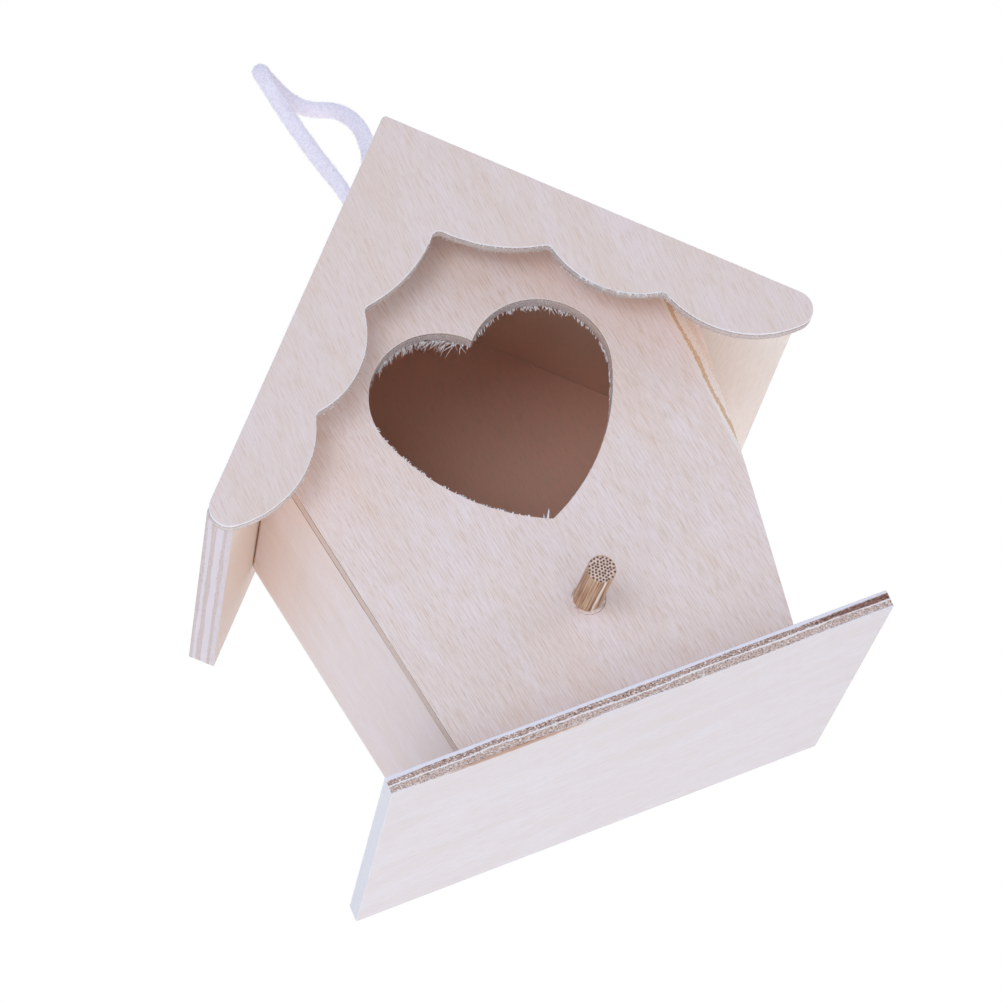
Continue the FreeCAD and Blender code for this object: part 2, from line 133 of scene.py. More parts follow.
def blend(
    tree: Tree,
    under: str | Socket,
    over: str | Socket,
    pattern: Socket,
    span: tuple[float, float] | None = None,
    most: float | Socket = 1.0,
    how: str = "MIX",
) -> Socket:
    """Lays one colour over another where a pattern is high.

    Args:
        tree: the material's tree.
        under, over: the two colours, sRGB hex or a socket.
        pattern: where the second one lies, as its amount or as a pattern with a span.
        span: the pattern's values where it starts and where it is full.
        most: how much of it there is where a span is full.
        how: the way that they mix.

    Returns:
        The new colour.
    """
    amount = pattern
    if span:
        amount = add_node(tree, "MapRange", (pattern, *span, 0.0, most)).outputs[0]
    below, above = (linear(tone) if isinstance(tone, str) else tone for tone in (under, over))
    inputs = {0: amount, MIX_A: below, MIX_B: above}
    mixed = add_node(tree, "Mix", inputs, data_type="RGBA", blend_type=how)
    return mixed.outputs[MIX_RESULT]


def dress(
    tree: Tree, look: dict[str, object], relief: tuple[float, float, Socket] | None = None
) -> None:
    """Gives a material its surface, with fine relief where it has some.

    Args:
        tree: the material's tree.
        look: the surface shader's inputs.
        relief: the bump's strength, its depth in metres and its height.
    """
    if relief:
        inputs = dict(zip(("Strength", "Distance", "Height"), relief))
        look = look | {"Normal": add_node(tree, "Bump", inputs).outputs[0]}
    shader = add_node(tree, "BsdfPrincipled", look)
    add_node(tree, "OutputMaterial", {"Surface": shader.outputs[0]})


def put_in_scene(name: str, data: bpy.types.ID) -> bpy.types.Object:
    """Makes an object and shows it.

    Args:
        name: the object's name.
        data: its mesh, light or camera.

    Returns:
        The object.
    """
    made = bpy.data.objects.new(name, data)
    bpy.context.scene.collection.objects.link(made)
    return made


def node_corners(node: str, keep: Callable[[Vector], bool]) -> list[Vector]:
    """Finds corners of a frame node.

    Args:
        node: the frame node's name.
        keep: says whether a corner is wanted.

    Returns:
        The wanted corners, each once.
    """
    seen = {tuple(round(c, 6) for c in v.co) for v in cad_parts[node].data.vertices}
    return [Vector(place) for place in sorted(seen) if keep(Vector(place))]


def scattered(rng: random.Random, reach: float) -> Vector:
    """A vector whose three parts are drawn between -reach and reach."""
    return Vector([rng.uniform(-reach, reach) for _ in range(3)])


@dataclass(frozen=True)
class BoardAxes:
    """How a board lies in the house.

    Attributes:
        inward: unit vector from its outer face to its inner one.
        grain: unit vector along the fibres of its face.
        outer: the outer face's distance from the origin along inward, in metres.
        thickness: in metres.
    """

    inward: Vector
    grain: Vector
    outer: float
    thickness: float

    @classmethod
    def of_node(cls, node: str, lengthwise: Vector, tilt: float = 0.0) -> "BoardAxes":
        """Measures a board.

        Args:
            node: the frame node's name.
            lengthwise: the way its grain runs, before it is laid into the board's face.
            tilt: degrees that the grain is turned by within the face, about inward.

        Returns:
            The board's axes.
        """
        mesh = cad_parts[node].data
        areas: dict[tuple[float, ...], float] = {}
        for face in mesh.polygons:
            key = tuple(round(c, 3) for c in face.normal)
            areas[key] = areas.get(key, 0.0) + face.area
        normal = Vector(max(areas, key=areas.get)).normalized()
        low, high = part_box(node)
        from_middle = (low + high) / 2 - (cad_low + cad_high) / 2
        inward = -normal if normal.dot(from_middle) > 0 else normal
        along = (lengthwise - inward * lengthwise.dot(inward)).normalized()
        depths = [v.co.dot(inward) for v in mesh.vertices]
        grain = Matrix.Rotation(math.radians(tilt), 3, inward) @ along
        return cls(inward, grain, min(depths), max(depths) - min(depths))

    @property
    def sideways(self) -> Vector:
        """Unit vector in the face, across the grain."""
        return self.inward.cross(self.grain)


@dataclass(frozen=True)
class Cut:
    """What one ply shows where the board is cut through.

    Attributes:
        colour: sRGB hex.
        pores: how much of it is open pores and torn specks, from 0 to 1.
    """

    colour: str
    pores: float = 0.0


@dataclass(frozen=True)
class Ply:
    """One layer of a board.

    Attributes:
        thickness: in millimetres, before the stack is fitted to its board.
        side: where the board is cut along the grain of its face.
        end: where it is cut across that grain.
        sanded: where it is sanded through at a low angle.
    """

    thickness: float
    side: Cut
    end: Cut
    sanded: Cut

    @classmethod
    def alike(cls, thickness: float, cut: Cut) -> "Ply":
        """A ply that looks the same wherever it is cut."""
        return cls(thickness, cut, cut, cut)


@dataclass(frozen=True)
class StainAndShade:
    """A patch of darker or warmer colour: resin or heartwood in the timber, or painted joint shade.

    Attributes:
        centre: in millimetres.
        radii: half its size along X, Y and Z, in millimetres.
        colour: sRGB hex that the timber's own colour is multiplied by.
        strength: from 0 to 1.
    """

    centre: Place
    radii: Place
    colour: str
    strength: float = 1.0


@dataclass(frozen=True)
class Finish:
    """What something is made of and how it was worked.

    Attributes:
        name: the material's name.
    """

    name: str

    def material(self) -> bpy.types.Material:
        """Makes the material.

        Returns:
            The painted material.
        """
        made = bpy.data.materials.new(self.name)
        made.use_nodes = True
        made.node_tree.nodes.clear()
        self.paint(made.node_tree)
        return made

    def paint(self, tree: Tree) -> None:
        """Adds the finish's own nodes to an empty tree."""
        raise NotImplementedError


@dataclass(frozen=True)
class PaintedBoard(Finish):
    """Board with a roller coat of warm white emulsion: even and quite matt."""

    name: str = "white painted board"
    colour: str = "#fff6e8"

    def paint(self, tree: Tree) -> None:
        """Adds the finish's own nodes to an empty tree."""
        dress(tree, {"Base Color": linear(self.colour), "Roughness": 0.9})


@dataclass(frozen=True)
class BasswoodPlywood(Finish):
    """Rotary-cut basswood plywood, sanded and left bare.

    The face is pale, dry and almost without gloss, with short fine fibres along the grain.
    Where the board is cut the plies show as stripes. Their torn ends are dark and light specks.

    Attributes:
        axes: how the board lies.
        plies: from the outer face to the inner one.
        pale, warm: the face's two tones, hex.
        inside: the inner face's tone, hex.
        indoor_shade: that face's tone within the four walls, darker and more orange: painted shade,
            hex.
        fibre, pore: the tones of its short fibres and of its open pores, hex.
        streaks: how plainly the fibres show, from 0 to 1.
        stains_and_shade: patches of another colour, stains in the timber and painted shade.
    """

    axes: BoardAxes
    plies: tuple[Ply, ...]
    pale: str = "#ebd7cf"
    warm: str = "#e8d0c2"
    inside: str = "#f4c2a0"
    indoor_shade: str = "#e5ac90"
    fibre: str = "#d2ad90"
    pore: str = "#ad8465"
    streaks: float = 0.95
    stains_and_shade: tuple[StainAndShade, ...] = ()

    def paint(self, tree: Tree) -> None:
        """Adds the plywood's own nodes.

        Args:
            tree: the material's tree.
        """
        board = PlywoodTree(self, tree)
        face, fibres = board.face()
        edge, specks = board.cut_edge()
        cut = add_node(tree, "MapRange", (board.facing, 0.99, 0.94)).outputs[0]
        colour = blend(tree, face, edge, cut)
        for tint in self.stains_and_shade:
            colour = board.tinted(colour, tint)
        height = add_node(tree, "Mix", {0: cut, 2: fibres, 3: specks}).outputs[0]
        look = {"Base Color": colour, "Roughness": 0.75, "Specular IOR Level": 0.25}
        dress(tree, look, (0.5, 0.06 * MM, height))


class PlywoodTree:
    """The shader of one board's plywood while it is put together.

    Attributes:
        finish: the plywood.
        tree: the material's tree.
        place: the place in the house.
        depth: how far into the board that is, in millimetres.
        board: the place in millimetres along the grain, across it and into the board.
        facing, endways: how far the surface is turned to the board's face and to its grain.
    """

    def __init__(self, finish: BasswoodPlywood, tree: Tree) -> None:
        """Measures every place on the board.

        Args:
            finish: the plywood.
            tree: the material's tree.
        """
        self.finish, self.tree, axes = finish, tree, finish.axes
        where = add_node(tree, "TexCoord")
        self.place, normal = where.outputs["Object"], where.outputs["Normal"]
        pairs = [(self.place, way / MM) for way in (axes.grain, axes.sideways, axes.inward)]
        pairs += [(normal, axes.inward), (normal, axes.grain)]
        dots = [add_node(tree, "VectorMath", pair, operation="DOT_PRODUCT") for pair in pairs]
        along, across, inward, *turned = (dot.outputs["Value"] for dot in dots)
        outer = axes.outer / MM
        self.depth = add_node(tree, "Math", (inward, outer), operation="SUBTRACT").outputs[0]
        self.board = add_node(tree, "CombineXYZ", (along, across, self.depth)).outputs[0]
        self.facing, self.endways = (
            add_node(tree, "Math", (way,), operation="ABSOLUTE").outputs[0] for way in turned
        )

    def grain_noise(self, size: Place, detail: float = 2.0, swirl: float = 0.0) -> Socket:
        """Noise whose blobs have a real size.

        Args:
            size: a blob along the grain, across it and into the board, in millimetres.
            detail: how many finer layers it has.
            swirl: how much it is distorted.

        Returns:
            The noise, about 0.5.
        """
        steps = Vector([1 / s for s in size])
        scaled = add_node(self.tree, "VectorMath", (self.board, steps), operation="MULTIPLY")
        inputs = {"Vector": scaled.outputs[0], "Scale": 1.0, "Detail": detail}
        inputs |= {"Roughness": 0.6, "Distortion": swirl}
        return add_node(self.tree, "TexNoise", inputs).outputs[0]

    def between_walls(self) -> Socket:
        """One between the four walls seen from above, else zero: where the indoor shade is painted.

        Returns:
            The socket.
        """
        tree = self.tree
        low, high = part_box("right_wall")
        slack, half_wall, near_floor = 0.3 * MM, 1.6 * MM, low.z + 1 * MM
        foot = max(p.x for p in node_corners("right_wall", lambda p: p.z < near_floor))
        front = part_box("front_panel")[1].y - slack
        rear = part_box("back_panel")[0].y + slack
        x, y, z = add_node(tree, "SeparateXYZ", (self.place,)).outputs
        # The walls lean outwards, so the floor between them is narrower than the eaves.
        spread = (z, low.z, near_floor, foot - half_wall, high.x)
        half_room = add_node(tree, "MapRange", spread).outputs[0]
        aside = add_node(tree, "Math", (x,), operation="ABSOLUTE").outputs[0]
        narrow = add_node(tree, "Math", (aside, half_room), operation="LESS_THAN").outputs[0]
        middle, half = (rear + front) / 2, (rear - front) / 2
        short = add_node(tree, "Math", (y, middle, half), operation="COMPARE").outputs[0]
        return add_node(tree, "Math", (narrow, short), operation="MULTIPLY").outputs[0]

    def face(self) -> tuple[Socket, Socket]:
        """The sanded face: broad figure, short fibres, a few open pores, and painted shade indoors.

        Returns:
            The colour, and the fibres' relief.
        """
        tree, finish = self.tree, self.finish
        # A cut log's growth shows as soft bands about 9 mm apart that wander along the sheet.
        figure = self.grain_noise((40.0, 9.0, 9.0), 3.0, 0.6)
        fibres = self.grain_noise((4.0, 0.20, 1.5), 3.0, 0.2)
        # Vessels are about 0.08 mm wide, and drawn twice that to show.
        pores = self.grain_noise((2.0, 0.17, 1.0), 1.0)
        front = blend(tree, finish.pale, finish.warm, figure, (0.36, 0.64))
        # Within the four walls the inner face is painted darker and more orange: painted shade of
        # the dim inside.
        rear = blend(tree, finish.inside, finish.indoor_shade, self.between_walls())
        middle = finish.axes.thickness / MM / 2
        deep = add_node(tree, "Math", (self.depth, middle), operation="GREATER_THAN").outputs[0]
        tone = blend(tree, front, rear, deep)
        tone = blend(tree, tone, finish.fibre, fibres, (0.45, 0.80), finish.streaks)
        return blend(tree, tone, finish.pore, pores, (0.60, 0.78), finish.streaks * 0.35), fibres

    def cut_edge(self) -> tuple[Socket, Socket]:
        """The sawn or sanded edge: a stripe for each ply, with specks in the open ends.

        Returns:
            The colour, and the specks' relief.
        """
        tree = self.tree
        # Glue lines wander by up to 0.2 mm, because the veneers are peeled and not planed.
        wander = self.grain_noise((13.0, 13.0, 1.7), 3.0)
        fray = self.grain_noise((0.5, 0.5, 0.4), 2.0)
        moved = self.depth
        for pattern, reach in ((wander, 0.45), (fray, 0.16)):
            shift = add_node(tree, "MapRange", (pattern, 0.0, 1.0, -reach, reach)).outputs[0]
            moved = add_node(tree, "Math", (moved, shift), operation="ADD").outputs[0]
        thick = self.finish.axes.thickness / MM
        share = add_node(tree, "Math", (moved, thick), operation="DIVIDE").outputs[0]
        across = add_node(tree, "Math", (self.endways, 2.0), operation="POWER").outputs[0]
        shallow = add_node(tree, "MapRange", (self.facing, 0.5, 0.8)).outputs[0]
        colour, pores = self._stack(share, "side")
        for look, amount in (("end", across), ("sanded", shallow)):
            other, other_pores = self._stack(share, look)
            colour = blend(tree, colour, other, amount)
            pores = add_node(tree, "Mix", {0: amount, 2: pores, 3: other_pores}).outputs[0]
        # Torn cells are finer than can be seen here, so the specks are drawn 0.3 mm apart.
        specks = self.grain_noise((0.34, 0.30, 0.26), 2.0)
        flecks = self.grain_noise((0.42, 0.32, 0.22), 1.0)
        colour = blend(tree, colour, LIGHT_FLECK, flecks, (0.54, 0.62), pores)
        return blend(tree, colour, DARK_SPECK, specks, (0.52, 0.62), pores), specks

    def _stack(self, share: Socket, look: str) -> tuple[Socket, Socket]:
        """The stripes of all plies, for one kind of cut.

        Args:
            share: how far through the board a place is, from 0 to 1.
            look: "side", "end" or "sanded".

        Returns:
            The stripes' colour, and their pores.
        """
        total = sum(ply.thickness for ply in self.finish.plies)
        reached, stops = 0.0, []
        for ply in self.finish.plies:
            shown: Cut = getattr(ply, look)
            stops.append((reached / total, shown.colour, shown.pores))
            reached += ply.thickness
        ramp = add_node(self.tree, "ValToRGB", (share,), stops)
        ramp.color_ramp.interpolation = "CONSTANT"
        return ramp.outputs["Color"], ramp.outputs["Alpha"]

    def tinted(self, colour: Socket, tint: StainAndShade) -> Socket:
        """Lays one tint over a colour: a stain in the timber, or painted shade.

        Args:
            colour: what lies under the tint.
            tint: the stain or the painted shade.

        Returns:
            The colour with the tint on it.
        """
        tree, centre, radii = self.tree, Vector(tint.centre) * MM, Vector(tint.radii) * MM
        offset = add_node(tree, "VectorMath", (self.place, centre), operation="SUBTRACT").outputs[0]
        shape = add_node(tree, "VectorMath", (offset, radii), operation="DIVIDE").outputs[0]
        far = add_node(tree, "VectorMath", (shape,), operation="LENGTH").outputs["Value"]
        # Its border is ragged at the scale of the fibres.
        inputs = {"Vector": self.place, "Scale": 1 / (1.2 * MM), "Detail": 3.0}
        ragged = add_node(tree, "TexNoise", inputs).outputs[0]
        border = add_node(tree, "Math", (ragged, 0.7, far), operation="MULTIPLY_ADD").outputs[0]
        return blend(tree, colour, tint.colour, border, (1.55, 1.05), tint.strength, "MULTIPLY")


@dataclass(frozen=True)
class TornFibre(Finish):
    """Basswood fibres torn up by a saw or a drill: thin, matt and rough.

    Attributes:
        light, dark: its two tones, hex.
    """

    name: str = "torn basswood fibre"
    light: str = "#fbf3ee"
    dark: str = "#dccabf"

    def paint(self, tree: Tree) -> None:
        """Adds the fibres' own nodes.

        Args:
            tree: the material's tree.
        """
        place = add_node(tree, "TexCoord").outputs["Object"]
        inputs = {"Vector": place, "Scale": 1 / (0.8 * MM), "Detail": 1.0}
        patches = add_node(tree, "TexNoise", inputs).outputs[0]
        stops = ((0.40, self.light, 1.0), (0.64, self.dark, 1.0))
        tone = add_node(tree, "ValToRGB", (patches,), stops).outputs[0]
        dress(tree, {"Base Color": tone, "Roughness": 0.85, "Specular IOR Level": 0.2})


@dataclass(frozen=True)
class SplitBamboo(Finish):
    """A rod drawn from split bamboo: tan, silky along its fibres, with dark bundles in its ends.

    Attributes:
        axis: unit vector along the rod.
        pale, tan, dark: the tones of the fibres along its side, hex.
        ground, bundle: the tones of its sawn end, hex.
        peel_and_highlight: the pale strip beside the split, a peeled fibre and a painted highlight,
            hex.
    """

    axis: Vector
    pale: str = "#d8b696"
    tan: str = "#b48868"
    dark: str = "#845437"
    ground: str = "#dfbfab"
    bundle: str = "#4a1c18"
    peel_and_highlight: str = "#fff2e2"

    def paint(self, tree: Tree) -> None:
        """Adds the bamboo's own nodes.

        Args:
            tree: the material's tree.
        """
        place = add_node(tree, "TexCoord").outputs["Object"]
        along = add_node(tree, "VectorMath", (place, self.axis), operation="DOT_PRODUCT")
        # Fibres run the rod's whole length, so the pattern is stretched fifty times along it.
        inputs = {0: self.axis, "Scale": along.outputs["Value"]}
        lengthwise = add_node(tree, "VectorMath", inputs, operation="SCALE").outputs[0]
        inputs = (lengthwise, Vector((-0.98,) * 3), place)
        squeezed = add_node(tree, "VectorMath", inputs, operation="MULTIPLY_ADD").outputs[0]
        inputs = {"Vector": squeezed, "Scale": 1 / (0.26 * MM), "Detail": 3.0}
        strands = add_node(tree, "TexNoise", inputs).outputs[0]
        stops = ((0.34, self.dark, 1.0), (0.46, self.tan, 1.0), (0.66, self.pale, 1.0))
        colour = add_node(tree, "ValToRGB", (strands,), stops).outputs[0]
        shares = ("peeled_and_highlight", "groove", "sawn_end", "bundle")
        for share, tone in zip(shares, (self.peel_and_highlight, self.dark, self.ground, self.bundle)):
            amount = add_node(tree, "Attribute", attribute_name=share).outputs["Fac"]
            colour = blend(tree, colour, tone, amount)
        look = {"Base Color": colour, "Roughness": 0.6, "Specular IOR Level": 0.35}
        dress(tree, look, (0.6, 0.05 * MM, strands))


@dataclass(frozen=True)
class BrushedCotton(Finish):
    """Braided cotton cord with a brushed nap: soft, matt, bluish white, lit through at its edge.

    Attributes:
        colour, hollow: the tones of its tufts and of the hollows between them, hex.
    """

    name: str = "brushed cotton cord"
    colour: str = "#fdeff0"
    hollow: str = "#efe0e5"

    def paint(self, tree: Tree) -> None:
        """Adds the cotton's own nodes.

        Args:
            tree: the material's tree.
        """
        place = add_node(tree, "TexCoord").outputs["Object"]
        inputs = {"Vector": place, "Scale": 1 / (0.45 * MM), "Detail": 3.0}
        tufts = add_node(tree, "TexNoise", inputs).outputs[0]
        stops = ((0.35, self.hollow, 1.0), (0.6, self.colour, 1.0))
        tone = add_node(tree, "ValToRGB", (tufts,), stops).outputs[0]
        look = {"Base Color": tone, "Roughness": 0.95, "Specular IOR Level": 0.1}
        look |= {"Sheen Weight": 0.3, "Sheen Roughness": 0.5}
        dress(tree, look, (0.8, 0.15 * MM, tufts))


@dataclass
class MeshDraft:
    """Corners and faces of one piece while it is put together."""

    corners: list[Vector] = field(default_factory=list)
    faces: list[tuple[int, ...]] = field(default_factory=list)

    def skin_rings(self, first: int, rings: int, sides: int) -> None:
        """Joins rings of corners into a closed skin.

        Args:
            first: the first ring's first corner.
            rings: how many rings there are.
            sides: corners in each ring.
        """
        last = first + (rings - 1) * sides
        for low in range(first, last, sides):
            high = low + sides
            for step in range(sides):
                following = (step + 1) % sides
                self.faces.append((low + step, low + following, high + following, high + step))
        self.faces.append(tuple(reversed(range(first, first + sides))))
        self.faces.append(tuple(range(last, last + sides)))

    def add_tube(
        self, centres: Sequence[Vector], radius: Callable[[float, float], float], sides: int
    ) -> None:
        """Adds a closed tube along a line.

        Args:
            centres: the points of its middle line.
            radius: gives its radius at a share of its length and an angle round it.
            sides: corners in each ring.
        """
        first = len(self.corners)
        last = len(centres) - 1
        tangents = [
            (centres[min(i + 1, last)] - centres[max(i - 1, 0)]).normalized()
            for i in range(last + 1)
        ]
        side = tangents[0].orthogonal().normalized()
        for index, (centre, tangent) in enumerate(zip(centres, tangents)):
            side = (side - tangent * side.dot(tangent)).normalized()
            other = tangent.cross(side)
            for step in range(sides):
                angle = TURN * step / sides
                outward = side * math.cos(angle) + other * math.sin(angle)
                self.corners.append(centre + outward * radius(index / last, angle))
        self.skin_rings(first, last + 1, sides)

    def add_fibre(
        self, root: Vector, way: Vector, bend: Vector, thick: float, parts: int = 3
    ) -> None:
        """Adds one tapered fibre.

        Args:
            root: where it grows from.
            way: from its root to where its tip would be if it were straight.
            bend: how far its tip is pulled aside.
            thick: its diameter at the root.
            parts: straight parts that its bend is made of.
        """
        shares = [index / parts for index in range(parts + 1)]
        line = [root + way * t + bend * t * t for t in shares]
        self.add_tube(line, lambda t, _: thick * (1 - 0.85 * t**1.5) / 2, 3)

    def piece(self, name: str, material: bpy.types.Material, slot: str) -> bpy.types.Object:
        """Makes the piece and lets it ride on the house.

        Args:
            name: the piece's name.
            material: its material.
            slot: the record's material slot for it. It is not used.

        Returns:
            The new object.
        """
        mesh = bpy.data.meshes.new(name)
        mesh.from_pydata([tuple(c) for c in self.corners], [], self.faces)
        mesh.polygons.foreach_set("use_smooth", [True] * len(mesh.polygons))
        mesh.materials.append(material)
        mesh.update()
        made = put_in_scene(name, mesh)
        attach(made, HOUSE)
        log.info("%s: %d faces", name, len(mesh.polygons))
        return made


@dataclass(frozen=True)
class StudioCamera:
    """A long lens that looks up at the house from in front, a little from its left.

    Attributes:
        place: in metres.
        right, up: the picture's directions.
        lens, sensor: in millimetres.
    """

    place: Vector = Vector((-0.1833, -0.6916, -0.1766))
    right: Vector = Vector((0.9125407, -0.1118297, -0.3934000))
    up: Vector = Vector((0.3274813, -0.3764234, 0.8666380))
    lens: float = 149.63
    sensor: float = 36.0

    def build(self) -> None:
        """Makes the camera the scene's own."""
        data = bpy.data.cameras.new("camera")
        data.lens, data.sensor_width = self.lens, self.sensor
        data.clip_start, data.clip_end = 0.01, 50.0
        camera = put_in_scene("camera", data)
        turned = Matrix((self.right, self.up, self.right.cross(self.up))).transposed()
        camera.matrix_world = Matrix.Translation(self.place) @ turned.to_4x4()
        bpy.context.scene.camera = camera


@dataclass(frozen=True)
class SoftBox:
    """A square studio light that shines on the house.

    Attributes:
        name: the light's name.
        place: in metres.
        side: in metres.
        watts: its power.
        colour: sRGB hex, a little cool.
    """

    name: str
    place: Place
    side: float
    watts: float
    colour: str = "#dbe9ff"

    def build(self, target: Vector) -> None:
        """Hangs the light.

        Args:
            target: what it is turned to, in metres.
        """
        data = bpy.data.lights.new(self.name, "AREA")
        data.size, data.energy = self.side, self.watts
        data.color = linear(self.colour)[:3]
        light = put_in_scene(self.name, data)
        light.location = self.place
        light.rotation_mode = "QUATERNION"
        light.rotation_quaternion = (target - light.location).to_track_quat("-Z", "Y")
        light.visible_camera = False


@dataclass(frozen=True)
class Studio:
    """A white room, brighter behind the house, with a pale floor and large soft lights.

    Attributes:
        floor_height, floor_side: in metres.
        front_strength, rear_strength: the room's light from in front of the house and from behind.
        room_colour: sRGB hex of that light, which is a little cool.
        lights: the lamps.
    """

    floor_height: float = -0.6
    floor_side: float = 12.0
    front_strength: float = 0.55
    rear_strength: float = 1.15
    room_colour: str = "#d8e8ff"
    lights: tuple[SoftBox, ...] = (
        SoftBox("right_light", (0.85, -0.50, 0.12), 0.5, 1.7),
        SoftBox("left_light", (-0.38, -0.90, 0.10), 0.4, 3.0),
        SoftBox("low_left_light", (-0.70, -0.25, -0.45), 0.7, 1.7),
        SoftBox("low_front_light", (-0.10, -0.80, -0.45), 0.7, 0.8),
        SoftBox("low_rear_light", (-0.15, 0.85, -0.42), 0.7, 5.0, "#e6eeff"),
        SoftBox("floor_light", (0.15, -0.10, -0.50), 0.8, 0.6),
    )

    def build(self) -> None:
        """Makes the room, the floor and the lights."""
        bpy.context.scene.view_settings.view_transform = "Standard"
        self._room()
        self._floor()
        for light in self.lights:
            light.build((cad_low + cad_high) / 2)

    def _room(self) -> None:
        """A white surround, which is what is seen and what lights the house from all sides."""
        world = bpy.data.worlds.new("white room")
        world.use_nodes = True
        tree = world.node_tree
        tree.nodes.clear()
        seen_directly = add_node(tree, "LightPath").outputs["Is Camera Ray"]
        way = add_node(tree, "TexCoord").outputs["Generated"]
        back = add_node(tree, "SeparateXYZ", (way,)).outputs["Y"]
        span = (back, -1.0, 1.0, self.front_strength, self.rear_strength)
        strength = add_node(tree, "MapRange", span).outputs[0]
        shade = add_node(tree, "Background", (linear(self.room_colour), strength)).outputs[0]
        seen = add_node(tree, "Background", ((1, 1, 1, 1), 1.0)).outputs[0]
        either = add_node(tree, "MixShader", (seen_directly, shade, seen)).outputs[0]
        add_node(tree, "OutputWorld", {"Surface": either})
        bpy.context.scene.world = world

    def _floor(self) -> None:
        """A plain pale floor."""
        half = self.floor_side / 2
        mesh = bpy.data.meshes.new("floor")
        corners = [(-half, -half), (half, -half), (half, half), (-half, half)]
        mesh.from_pydata([(x, y, self.floor_height) for x, y in corners], [], [(0, 1, 2, 3)])
        mesh.materials.append(PaintedBoard().material())
        put_in_scene("floor", mesh)


